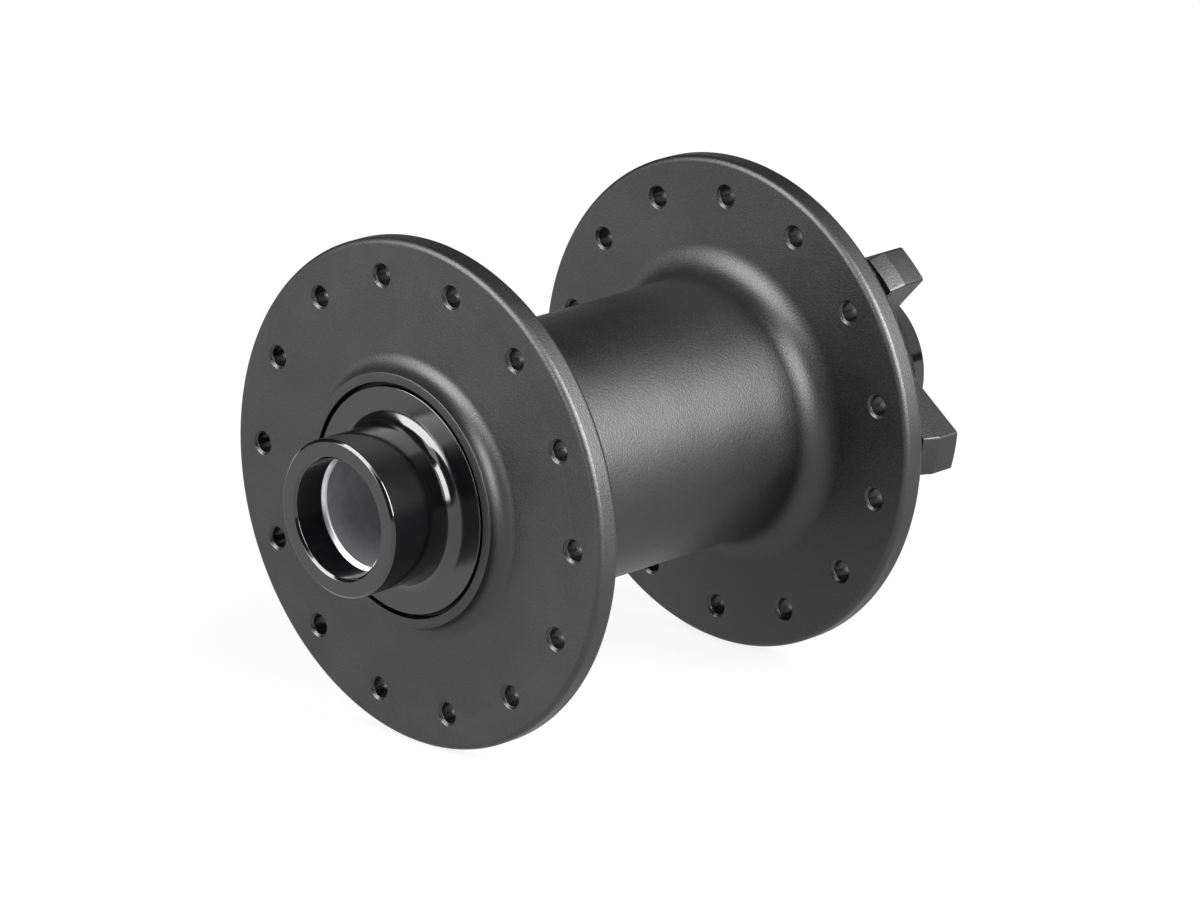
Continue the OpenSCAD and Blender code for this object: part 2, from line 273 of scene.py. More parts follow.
def ring_of_copies(tree: Tree, source: Node) -> Node:
    """Adds the nodes that stand copies of an object in a ring about the Y axis.

    Args:
        tree: The tree to add to.
        source: Its input node, with sockets Copy, Count and Turn. The copy is drawn in its own place
            at angle 0, and Turn is the first copy's angle in radians.

    Returns:
        The node that gives the ring of copies as geometry.
    """
    add = partial(add_node, tree)
    count = source.outputs["Count"]
    points = add("GeometryNodePoints", {"Count": count})
    share = add(MATH, {0: add("GeometryNodeInputIndex", {}), 1: count}, operation="DIVIDE")
    angle = add(MATH, {0: share, 1: math.tau, 2: source.outputs["Turn"]}, operation="MULTIPLY_ADD")
    # A positive turn about +Y runs from +Z towards +X, against the angles here
    about = add(MATH, {0: angle, 1: -1.0}, operation="MULTIPLY")
    euler = add("ShaderNodeCombineXYZ", {1: about})
    copy = add("GeometryNodeObjectInfo", {"Object": source.outputs["Copy"]}).outputs["Geometry"]
    ring = add("GeometryNodeInstanceOnPoints", {"Points": points, "Instance": copy, "Rotation": euler})
    return add("GeometryNodeRealizeInstances", {"Geometry": ring})


RING_SOCKETS = {
    "Copy": ("NodeSocketObject", None),
    "Count": ("NodeSocketInt", 1),
    "Turn": ("NodeSocketFloat", 0.0),
    "Material": ("NodeSocketMaterial", None),
}


def ring_tree() -> Tree:
    """Builds the tree that makes a ring of copies of an object.

    Returns:
        The tree.
    """
    tree, source = new_tree("ring", RING_SOCKETS)
    end_tree(tree, ring_of_copies(tree, source), source.outputs["Material"])
    return tree


def cut_tree(cut: Cut) -> Tree:
    """Builds the tree that drills a ring of tools out of a piece, or welds a ring of copies to it.

    Args:
        cut: What the ring does.

    Returns:
        The tree.
    """
    tree, source = new_tree(cut.name.lower(), RING_SOCKETS)
    ring = ring_of_copies(tree, source)
    # A union takes all its meshes in the second input
    own_socket = "Mesh 1" if cut is Cut.DRILL else "Mesh 2"
    inputs = {own_socket: source.outputs["Geometry"]}
    boolean = add_node(tree, "GeometryNodeMeshBoolean", inputs, operation=cut.value, solver="MANIFOLD")
    tree.links.new(ring.outputs[0], boolean.inputs["Mesh 2"])
    end_tree(tree, boolean, source.outputs["Material"])
    return tree


def stack(work: bmesh.types.BMesh, rings: list[list[bmesh.types.BMVert]]) -> None:
    """Adds the faces of a closed solid from rings of equally many vertices.

    Args:
        work: The mesh to add to.
        rings: The rings in order. The first and the last get an end face.
    """
    for first, second in zip(rings, rings[1:]):
        for i in range(len(first)):
            k = (i + 1) % len(first)
            work.faces.new((first[i], first[k], second[k], second[i]))
    work.faces.new(rings[0])
    work.faces.new(rings[-1])


class Workshop:
    """The node trees that shape the pieces, and the steps from a profile to a finished mesh."""

    # Weight of large faces against small ones in the shading of a polished piece
    face_weight = 75

    def __init__(self) -> None:
        """Builds the trees."""
        self.lathe = lathe_tree()
        self.ring = ring_tree()
        self.cuts = {cut: cut_tree(cut) for cut in Cut}

    def blank(self, name: str) -> Piece:
        """Makes an object with an empty mesh.

        Args:
            name: The object's name.

        Returns:
            The object.
        """
        host = bpy.data.objects.new(name, bpy.data.meshes.new(name))
        bpy.context.scene.collection.objects.link(host)
        return host

    def fill(self, name: str, work: bmesh.types.BMesh) -> Piece:
        """Makes an object from a finished mesh builder and frees the builder.

        Args:
            name: The object's name.
            work: The mesh builder.

        Returns:
            The object, with its faces outwards.
        """
        piece = self.blank(name)
        work.to_mesh(piece.data)
        work.free()
        outwards(piece.data)
        return piece

    def run(self, host: Piece, tree: Tree, inputs: Inputs) -> None:
        """Shapes an object with one tree and keeps the result as its plain mesh.

        Args:
            host: The object whose mesh goes in and comes out.
            tree: The geometry tree.
            inputs: A value for each named input.
        """
        modifier = host.modifiers.new(tree.name, "NODES")
        modifier.node_group = tree
        sockets = {s.name: s.identifier for s in tree.interface.items_tree if s.in_out == "INPUT"}
        for label, value in inputs.items():
            modifier[sockets[label]] = value
        self.keep(host)

    def keep(self, host: Piece) -> None:
        """Turns an object's modifiers into its plain mesh.

        Args:
            host: The object.
        """
        graph = bpy.context.evaluated_depsgraph_get()
        mesh = bpy.data.meshes.new_from_object(host.evaluated_get(graph), depsgraph=graph)
        old = host.data
        host.modifiers.clear()
        host.data = mesh
        bpy.data.meshes.remove(old)
        mesh.name = host.name

    def turn(self, name: str, corners: list[Corner], material: Material, segments: int) -> Piece:
        """Turns a closed profile about the hub's axis.

        Args:
            name: The piece's name.
            corners: The profile's corners in order, in millimetres.
            material: The piece's finish.
            segments: Number of steps round the axis.

        Returns:
            The piece, with its faces outwards.
        """
        points = rounded(corners)
        profile = self.blank(name + "_profile")
        profile.data.from_pydata([(p.x * MM, p.y * MM, 0) for p in [*points, points[0]]], [], [])
        piece = self.blank(name)
        self.run(piece, self.lathe, {"Profile": profile, "Segments": segments, "Material": material})
        self.discard(profile)
        outwards(piece.data)
        return piece

    def cut(self, piece: Piece, tool: Piece, cut: Cut, count: int, turn: float) -> None:
        """Drills or welds a ring of tools, and discards the tool.

        Args:
            piece: The piece to work on. It keeps its first material.
            tool: The tool at angle 0.
            cut: What the ring does.
            count: Number of tools in the ring.
            turn: Angle of the first tool in degrees.
        """
        material = piece.data.materials[0]
        inputs = {"Copy": tool, "Count": count, "Turn": math.radians(turn), "Material": material}
        self.run(piece, self.cuts[cut], inputs)
        self.discard(tool)

    def copies(self, name: str, original: Piece, count: int, material: Material) -> Piece:
        """Makes a ring of copies of an object as one piece, which takes the object's place.

        Args:
            name: The piece's name.
            original: The object at angle 0, which is discarded.
            count: Number of copies.
            material: The piece's finish.

        Returns:
            The piece.
        """
        piece = self.blank(name)
        self.run(piece, self.ring, {"Copy": original, "Count": count, "Turn": 0.0, "Material": material})
        self.discard(original)
        return piece

    def discard(self, spare: Piece) -> None:
        """Removes a profile or a tool with its mesh.

        Args:
            spare: The object to remove.
        """
        mesh = spare.data
        bpy.data.objects.remove(spare)
        bpy.data.meshes.remove(mesh)

    def polish(self, piece: Piece, crease: float = 20.0) -> None:
        """Shades a piece smooth, with its flat faces kept flat.

        Args:
            piece: The piece.
            crease: Angle in degrees from which an edge stays sharp.
        """
        mesh = piece.data
        mesh.shade_smooth()
        mesh.set_sharp_from_angle(angle=math.radians(crease))
        modifier = piece.modifiers.new("flat_faces", "WEIGHTED_NORMAL")
        modifier.keep_sharp = True
        modifier.weight = self.face_weight
        self.keep(piece)


def outwards(mesh: bpy.types.Mesh) -> None:
    """Points the faces of closed solids outwards.

    Args:
        mesh: The mesh to change.
    """
    work = bmesh.new()
    work.from_mesh(mesh)
    bmesh.ops.recalc_face_normals(work, faces=work.faces)
    if work.calc_volume(signed=True) < 0:
        bmesh.ops.reverse_faces(work, faces=work.faces)
    work.to_mesh(mesh)
    work.free()


class Cad:
    """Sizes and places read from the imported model, in millimetres."""

    mounts = {mount["name"]: mount for mount in frame["record"]["mounts"]}

    def reach(self, node: str) -> float:
        """Largest radius of a node."""
        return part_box(node)[1].x / MM

    def near(self, node: str) -> float:
        """Lowest station of a node."""
        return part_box(node)[0].y / MM

    def far(self, node: str) -> float:
        """Highest station of a node."""
        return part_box(node)[1].y / MM

    def mount(self, name: str) -> dict[str, float]:
        """Dimensions of a mount."""
        return self.mounts[name]["dims"]

    def mount_station(self, name: str) -> float:
        """Station of a mount's place."""
        return self.mounts[name]["pos_m"][1] / MM


def linear(code: str) -> tuple[float, float, float, float]:
    """Turns a colour into the values that a shader takes.

    Args:
        code: The colour as sRGB hex.

    Returns:
        Linear red, green, blue and an alpha of 1.
    """
    parts = [int(code[i : i + 2], 16) / 255 for i in (1, 3, 5)]
    red, green, blue = [c / 12.92 if c <= 0.04045 else ((c + 0.055) / 1.055) ** 2.4 for c in parts]
    return red, green, blue, 1.0


def new_material(name: str) -> tuple[Tree, Material]:
    """Makes an empty node material.

    Args:
        name: The material's name.

    Returns:
        The material's tree and the material.
    """
    material = bpy.data.materials.new(name)
    material.use_nodes = True
    material.node_tree.nodes.clear()
    return material.node_tree, material


def drifting_colour(tree: Tree, clouds: Node, first: str, second: str, most: float = 1.0) -> Socket:
    """Adds the nodes that let a colour drift towards another in clouds.

    Args:
        tree: The material's tree.
        clouds: The noise that it follows.
        first: The main colour.
        second: The colour that it drifts to.
        most: Largest share of the second colour.

    Returns:
        The socket with the mixed colour.
    """
    share = add_node(tree, "ShaderNodeMapRange", {"Value": clouds, **NOISE_SPAN, "To Max": most})
    inputs = {MIX_SHARE: share, MIX_FIRST: linear(first), MIX_SECOND: linear(second)}
    return add_node(tree, "ShaderNodeMix", inputs, data_type="RGBA").outputs[MIX_RESULT]


def axis_place(tree: Tree) -> tuple[Node, Node]:
    """Adds the nodes that tell where a point lies from the hub's axis.

    Args:
        tree: The material's tree.

    Returns:
        The nodes for the distance from the axis and the station along it, in millimetres.
    """
    add = partial(add_node, tree)
    place = add("ShaderNodeTexCoord", {}).outputs["Object"]
    parts = add("ShaderNodeSeparateXYZ", {0: place})
    flat = add("ShaderNodeCombineXYZ", {0: parts.outputs["X"], 2: parts.outputs["Z"]})
    length = add("ShaderNodeVectorMath", {0: flat}, operation="LENGTH").outputs["Value"]
    radius = add(MATH, {0: length, 1: 1 / MM}, operation="MULTIPLY")
    station = add(MATH, {0: parts.outputs["Y"], 1: 1 / MM}, operation="MULTIPLY")
    return radius, station


def axial_lean(tree: Tree) -> Node:
    """Adds the nodes that tell how squarely a face looks along the hub's axis.

    Args:
        tree: The material's tree.

    Returns:
        The node that gives 1 on a flat end face and 0 on a cylinder.
    """
    normal = add_node(tree, "ShaderNodeNewGeometry", {}).outputs["True Normal"]
    along = add_node(tree, "ShaderNodeSeparateXYZ", {0: normal}).outputs["Y"]
    return add_node(tree, MATH, {0: along}, operation="ABSOLUTE")


def tool_marks(tree: Tree, feed: float, depth: float) -> Node:
    """Adds the rings that a turning tool leaves.

    Args:
        tree: The material's tree.
        feed: The tool's feed per turn in millimetres.
        depth: The rings' depth in millimetres.

    Returns:
        The node that gives the relief.
    """
    add = partial(add_node, tree)
    radius, station = axis_place(tree)
    path = add(MATH, {0: radius, 1: station}, operation="ADD")
    turns = add(MATH, {0: path, 1: feed}, operation="DIVIDE")
    inputs = {"W": turns, "Scale": 1.0, "Detail": 2.0}
    rings = add("ShaderNodeTexNoise", inputs, noise_dimensions="1D")
    return add("ShaderNodeBump", {"Height": rings, "Distance": depth * MM})


@dataclass(frozen=True)
class Clouds:
    """Noise of a real size in millimetres, and how far a value drifts with it."""

    size: float
    detail: float
    low: float
    high: float

    def build(self, tree: Tree, middle: float = 0.0) -> tuple[Node, Node]:
        """Adds the noise and a value that drifts with it.

        Args:
            tree: The material's tree.
            middle: The value that drifts.

        Returns:
            The nodes that give the noise from 0 to 1 and the drifting value.
        """
        place = add_node(tree, "ShaderNodeTexCoord", {}).outputs["Object"]
        inputs = {"Vector": place, "Scale": 1 / (self.size * MM), "Detail": self.detail}
        noise = add_node(tree, "ShaderNodeTexNoise", inputs)
        ends = {"To Min": middle + self.low, "To Max": middle + self.high}
        return noise, add_node(tree, "ShaderNodeMapRange", {"Value": noise, **NOISE_SPAN, **ends})


@dataclass(frozen=True)
class Finish:
    """A finish, as a named material with one Principled shader."""

    name: str

    def inputs(self, tree: Tree) -> Inputs:
        """Adds the finish's own nodes, and gives the shader's inputs."""
        raise NotImplementedError

    def build(self) -> Material:
        """Makes the material.

        Returns:
            The node material.
        """
        tree, material = new_material(self.name)
        shader = add_node(tree, "ShaderNodeBsdfPrincipled", self.inputs(tree))
        add_node(tree, "ShaderNodeOutputMaterial", {"Surface": shader})
        return material


@dataclass(frozen=True)
class BlastedAnodising(Finish):
    """Aluminium alloy, machined, bead blasted and dyed black in the anodising bath.

    The beads leave dimples of about 0.1 mm, so the eye sees an even, dark grey satin with broad soft
    highlights and no mirror image. Bores, recesses and the rotor pilot are masked from the beads, and
    their darker colour is partly painted shade for the shade that falls inside them. The drill leaves
    the spoke holes a little glossier.
    """

    name: str = "black_bead_blasted_anodised_aluminium"
    colour: str = "#464646"
    pale: str = "#4a4a4a"
    # Darker colour of the bores, recesses and rotor pilot: painted shade for the shade that falls inside
    # them, on faces masked from the beads
    bore: str = "#262626"
    roughness: float = 0.45
    clouds: Clouds = Clouds(9.0, 2.0, -0.02, 0.02)
    # Drawn at three times the dimples' real size, so that they show as a faint grain
    grain: Clouds = Clouds(0.3, 2.0, -0.04, 0.04)
    dimple: float = 0.03
    drilled_roughness: float = 0.34
    drilled_radius: float = 29.0
    drilled_reach: float = 2.4
    drilled_lean: float = 0.98
    # Faces nearer the axis than this, in the bores, take the painted shade
    masked_radius: float = 15.7
    pilot_radius: float = 17.78
    pilot_station: float = 39.52

    def masked(self, tree: Tree, radius: Node, station: Node) -> Node:
        """Adds the nodes that find the faces masked from the beads, whose darker colour paints the shade
        in the bores and on the rotor pilot.

        Args:
            tree: The material's tree.
            radius: Distance from the axis.
            station: Station along it.

        Returns:
            The node that gives 1 in the bores and on the rotor pilot.
        """
        add = partial(add_node, tree)
        bored = add(MATH, {0: radius, 1: self.masked_radius}, operation="LESS_THAN")
        beyond = add(MATH, {0: station, 1: self.pilot_station}, operation="GREATER_THAN")
        within = add(MATH, {0: radius, 1: self.pilot_radius}, operation="LESS_THAN")
        pilot = add(MATH, {0: beyond, 1: within}, operation="MULTIPLY")
        return add(MATH, {0: bored, 1: pilot}, operation="MAXIMUM")

    def drilled(self, tree: Tree, radius: Node) -> Node:
        """Adds the nodes that find the walls of the spoke holes.

        Args:
            tree: The material's tree.
            radius: Distance from the axis.

        Returns:
            The node that gives 1 on the walls.
        """
        add = partial(add_node, tree)
        offset = add(MATH, {0: radius, 1: self.drilled_radius}, operation="SUBTRACT")
        away = add(MATH, {0: offset}, operation="ABSOLUTE")
        close = add(MATH, {0: away, 1: self.drilled_reach}, operation="LESS_THAN")
        steep = add(MATH, {0: axial_lean(tree), 1: self.drilled_lean}, operation="LESS_THAN")
        return add(MATH, {0: steep, 1: close}, operation="MULTIPLY")

    def inputs(self, tree: Tree) -> Inputs:
        """Adds the finish's own nodes.

        Args:
            tree: The material's tree.

        Returns:
            The shader's inputs.
        """
        add = partial(add_node, tree)
        clouds, clouded = self.clouds.build(tree, self.roughness)
        grain, grained = self.grain.build(tree)
        radius, station = axis_place(tree)
        blasted = drifting_colour(tree, clouds, self.colour, self.pale)
        masked = self.masked(tree, radius, station)
        # Painted shade: the bores and the rotor pilot take the darker colour
        mix = {MIX_SHARE: masked, MIX_FIRST: blasted, MIX_SECOND: linear(self.bore)}
        rough = add(MATH, {0: clouded, 1: grained}, operation="ADD")
        finer = self.drilled_roughness - self.roughness
        drilled = self.drilled(tree, radius)
        return {
            "Base Color": add("ShaderNodeMix", mix, data_type="RGBA").outputs[MIX_RESULT],
            "Metallic": 1.0,
            "Roughness": add(MATH, {0: drilled, 1: finer, 2: rough}, operation="MULTIPLY_ADD"),
            "Normal": add("ShaderNodeBump", {"Height": grain, "Distance": self.dimple * MM}),
        }


@dataclass(frozen=True)
class GlossAnodising(Finish):
    """Aluminium alloy, fine turned and anodised glossy black.

    Cylinders come off the lathe almost polished and show sharp dark reflections. The faces keep fine
    tool rings, which make them satin. The clear aluminium oxide on top has an index of 1.75.
    """

    name: str = "black_gloss_anodised_turned_aluminium"
    colour: str = "#040405"
    index: float = 1.75
    roughness: float = 0.12
    face_roughness: float = 0.17
    face_power: float = 6.0
    smear: Clouds = Clouds(3.0, 3.0, -0.02, 0.03)
    feed: float = 0.16
    ring_depth: float = 0.0008

    def inputs(self, tree: Tree) -> Inputs:
        """Adds the finish's own nodes.

        Args:
            tree: The material's tree.

        Returns:
            The shader's inputs.
        """
        facing = add_node(tree, MATH, {0: axial_lean(tree), 1: self.face_power}, operation="POWER")
        _, smeared = self.smear.build(tree, self.roughness)
        rough = {0: facing, 1: self.face_roughness - self.roughness, 2: smeared}
        return {
            "Base Color": linear(self.colour),
            "IOR": self.index,
            "Roughness": add_node(tree, MATH, rough, operation="MULTIPLY_ADD"),
            "Normal": tool_marks(tree, self.feed, self.ring_depth),
        }


@dataclass(frozen=True)
class BareAluminium(Finish):
    """Bare aluminium tube, turned and bored.

    It is pale grey, and the tool's feed leaves fine bright rings. The bore is rougher.
    """

    name: str = "bare_turned_aluminium"
    colour: str = "#e0e0e1"
    dull: str = "#c0c0c3"
    roughness: float = 0.3
    bore_roughness: float = 0.5
    bore_radius: float = 7.7
    clouds: Clouds = Clouds(2.5, 4.0, -0.06, 0.08)
    feed: float = 0.3
    ring_depth: float = 0.006

    def inputs(self, tree: Tree) -> Inputs:
        """Adds the finish's own nodes.

        Args:
            tree: The material's tree.

        Returns:
            The shader's inputs.
        """
        clouds, clouded = self.clouds.build(tree, self.roughness)
        radius, _ = axis_place(tree)
        bore = add_node(tree, MATH, {0: radius, 1: self.bore_radius}, operation="LESS_THAN")
        rough = {0: bore, 1: self.bore_roughness - self.roughness, 2: clouded}
        return {
            "Base Color": drifting_colour(tree, clouds, self.colour, self.dull),
            "Metallic": 1.0,
            "Roughness": add_node(tree, MATH, rough, operation="MULTIPLY_ADD"),
            "Normal": tool_marks(tree, self.feed, self.ring_depth),
        }


@dataclass(frozen=True)
class BearingSteel(Finish):
    """Through-hardened chrome steel, ground on the races and lapped on the balls.

    Ground faces carry very fine rings in one direction and balls are near mirrors, with a thin film
    of grease.
    """

    colour: str
    roughness: float
    feed: float
    ring_depth: float
    grease: str = "#8f8a80"
    grease_share: float = 0.25
    film: Clouds = Clouds(1.2, 3.0, -0.03, 0.05)

    def inputs(self, tree: Tree) -> Inputs:
        """Adds the finish's own nodes.

        Args:
            tree: The material's tree.

        Returns:
            The shader's inputs.
        """
        film, rough = self.film.build(tree, self.roughness)
        return {
            "Base Color": drifting_colour(tree, film, self.colour, self.grease, self.grease_share),
            "Metallic": 1.0,
            "Roughness": rough,
            "Normal": tool_marks(tree, self.feed, self.ring_depth),
        }


@dataclass(frozen=True)
class Moulded(Finish):
    """A moulded polymer or rubber: even colour, a skin with fine mould texture and faint flow clouds."""

    colour: str
    pale: str
    roughness: float
    skin: Clouds
    relief: float
    clouds: Clouds = Clouds(4.0, 2.0, 0.0, 1.0)

    def inputs(self, tree: Tree) -> Inputs:
        """Adds the finish's own nodes.

        Args:
            tree: The material's tree.

        Returns:
            The shader's inputs.
        """
        skin, rough = self.skin.build(tree, self.roughness)
        clouds, _ = self.clouds.build(tree)
        dents = {"Height": skin, "Distance": self.relief * MM}
        return {
            "Base Color": drifting_colour(tree, clouds, self.colour, self.pale),
            "Roughness": rough,
            "Normal": add_node(tree, "ShaderNodeBump", dents),
        }


class Slot(Enum):
    """The record's material slots."""

    SHELL = "shell_black"
    CAP = "cap_gloss_black"
    TUBE = "axle_bare"
    RACE = "race_steel"
    BALL = "ball_steel"
    CAGE = "cage_polymer"
    SEAL = "seal_rubber"
    O_RING = "o_ring_rubber"


# Detail of a moulded skin, and how far its roughness drifts
SKIN = (3.0, -0.05, 0.05)
FINISHES = {
    Slot.SHELL: BlastedAnodising(),
    Slot.CAP: GlossAnodising(),
    Slot.TUBE: BareAluminium(),
    Slot.RACE: BearingSteel("ground_bearing_steel", "#c4c5c8", 0.22, 0.05, 0.0006),
    Slot.BALL: BearingSteel("lapped_ball_steel", "#d5d6d9", 0.06, 0.4, 0.0001),
    # Glass-filled nylon, moulded, ivory going brown with grease
    Slot.CAGE: Moulded("moulded_nylon_cage", "#8a6f45", "#9b8054", 0.5, Clouds(0.3, *SKIN), 0.004),
    # Nitrile rubber on a steel plate, moulded matt black
    Slot.SEAL: Moulded("moulded_nitrile_seal", "#19191a", "#202021", 0.62, Clouds(0.25, *SKIN), 0.005),
    # Nitrile O-ring with a film of grease that makes it glossier than the seals
    Slot.O_RING: Moulded("greased_nitrile_ring", "#121213", "#171718", 0.3, Clouds(0.4, *SKIN), 0.002),
}


class Fitter:
    """Hands out the finishes and fixes finished pieces to the frame."""

    def __init__(self) -> None:
        """Makes one material for each slot."""
        self.materials = {slot: finish.build() for slot, finish in FINISHES.items()}

    def fit(self, piece: Piece, node: str, slot: Slot) -> None:
        """Puts a piece in its CAD node's place.

        Args:
            piece: The finished mesh, in the row frame.
            node: The CAD node that it replaces.
            slot: The material slot of its finish. Not used.
        """
        body = next(b for b, members in frame["record"]["behaviour"]["bodies"].items() if node in members)
        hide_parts(node)
        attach(piece, body)
        log.info("%s: %d faces on %s", piece.name, len(piece.data.polygons), body)


@dataclass
class RotorTab:
    """One of the lobes that carry the brake rotor, drawn about +X."""

    front: float
    back: float
    reach: float = 26.0
    neck: float = 17.9
    land: float = 3.6
    slope: float = 0.9
    corner: float = 0.4
    half_width: float = 2.85
    steep_lean: float = -2.0
    long_lean: float = 25.0
    hollow: float = 3.0
    sink: float = 0.6
    edge: float = 0.25
    edge_steps: int = 6
    bend_steps: int = 10
    nose_steps: int = 4
    root_steps: int = 6

    def corner_middle(self) -> float:
        """Distance of the corner roundings' middles along the tab."""
        return math.sqrt((self.reach - self.corner) ** 2 - (self.half_width - self.corner) ** 2)

    def hollow_middle(self, sign: int, lean: float) -> Vector:
        """Finds the middle of the hollow at one root.

        Args:
            sign: Which side of the tab, 1 or -1.
            lean: How far that side leans from the tab's line, in degrees.

        Returns:
            The middle of the hollow's arc.
        """
        tilt = math.radians(lean)
        off = self.corner_middle() * math.sin(tilt)
        off += (self.half_width - self.corner) * math.cos(tilt) + self.corner + self.hollow
        along = math.sqrt((self.neck + self.hollow) ** 2 - off**2)
        x = along * math.cos(tilt) + off * math.sin(tilt)
        return Vector((x, sign * (off * math.cos(tilt) - along * math.sin(tilt))))

    def bend(self, middle: Vector, radius: float, start: float, end: float, count: int) -> list[Vector]:
        """Points of an arc of the outline, between two angles in degrees."""
        angles = [start + (end - start) * i / count for i in range(count + 1)]
        return [middle + self.polar(radius, a) for a in angles]

    def outline(self) -> list[Vector]:
        """Draws the tab's outline.

        Returns:
            Its points, from the steep side round to the long side, and back inside the neck's wall.
        """
        steep = self.hollow_middle(-1, self.steep_lean)
        long = self.hollow_middle(1, self.long_lean)
        steep_foot = math.degrees(math.atan2(steep.y, steep.x))
        long_foot = math.degrees(math.atan2(long.y, long.x))
        x, y = self.corner_middle(), self.half_width - self.corner
        nose = math.degrees(math.atan2(y, x))
        root = self.neck - self.sink
        step = (steep_foot - long_foot) / self.root_steps
        count = self.bend_steps
        return [
            self.polar(root, steep_foot),
            *self.bend(steep, self.hollow, steep_foot + 180, 90 + self.steep_lean, count),
            *self.bend(Vector((x, -y)), self.corner, self.steep_lean - 90, -nose, count),
            *self.bend(Vector((0, 0)), self.reach, -nose, nose, self.nose_steps)[1:-1],
            *self.bend(Vector((x, y)), self.corner, nose, 90 - self.long_lean, count),
            *self.bend(long, self.hollow, -90 - self.long_lean, long_foot - 180, count),
            *[self.polar(root, long_foot + step * i) for i in range(self.root_steps)],
        ]

    def polar(self, radius: float, angle: float) -> Vector:
        """The point at a radius and an angle in degrees."""
        return Vector((math.cos(math.radians(angle)), math.sin(math.radians(angle)))) * radius

    def build(self, shop: Workshop, material: Material) -> Piece:
        """Makes the tab as a closed mesh with its rims rounded.

        Args:
            shop: The workshop.
            material: The shell's finish.

        Returns:
            The tab at angle 0.
        """
        outline = self.outline()
        work = bmesh.new()
        rings = []
        for station, limit in (
            (self.back, self.reach),
            (self.back - self.land, self.reach),
            (self.front, self.reach - self.slope),
        ):
            held = [p * min(1.0, limit / p.length) for p in outline]
            rings.append([work.verts.new((p.x * MM, station * MM, p.y * MM)) for p in held])
        count = len(outline)
        stack(work, rings)
        bmesh.ops.recalc_face_normals(work, faces=work.faces)
        rims = [
            work.edges.get((ring[i], ring[(i + 1) % count]))
            for ring in (rings[0], rings[-1])
            for i in range(1, count - self.root_steps - 1)
        ]
        bmesh.ops.bevel(
            work,
            geom=rims,
            offset=self.edge * MM,
            segments=self.edge_steps,
            profile=0.5,
            affect="EDGES",
            clamp_overlap=True,
        )
        tab = shop.fill("tab", work)
        tab.data.materials.append(material)
        return tab


@dataclass
class ThreadedHole:
    """A tapped hole along Y, as the solid that cuts it."""

    pitch: float = 0.8
    minor: float = 2.1
    depth: float = 0.36
    mouth: float = 2.65
    around: int = 36
    per_turn: int = 6

    def build(self, shop: Workshop, place: Vector, half_length: float) -> Piece:
        """Makes the cutter.

        Args:
            shop: The workshop.
            place: Middle of the hole in millimetres.
            half_length: Half the length of the hole.

        Returns:
            The cutter in its place.
        """
        rows = math.ceil(2 * (half_length + OVER) / self.pitch * self.per_turn)
        work = bmesh.new()
        rings = []
        for i in range(rows + 1):
            y = (2 * i / rows - 1) * (half_length + OVER)
            ring = []
            for k in range(self.around):
                phase = (y / self.pitch + k / self.around) % 1.0
                radius = self.minor + self.depth * (1 - abs(2 * phase - 1))
                radius = max(radius, min(self.mouth, self.mouth + abs(y) - half_length))
                angle = math.tau * k / self.around
                point = place + Vector((radius * math.cos(angle), y, radius * math.sin(angle)))
                ring.append(work.verts.new(point * MM))
            rings.append(ring)
        stack(work, rings)
        return shop.fill("tap", work)


@dataclass
class Assembly:
    """What a sub-assembly works with: the CAD sizes, the workshop and the fitter."""

    cad: Cad
    shop: Workshop
    fitter: Fitter

    def turn(self, name: str, corners: list[Corner], segments: int, node: str, slot: Slot) -> None:
        """Turns, polishes and fits one piece.

        Args:
            name: The piece's name.
            corners: The corners of its section.
            segments: Number of steps round the axis.
            node: The CAD node that it replaces.
            slot: The material slot of its finish.
        """
        piece = self.shop.turn(name, corners, self.fitter.materials[slot], segments)
        self.shop.polish(piece)
        self.fitter.fit(piece, node, slot)


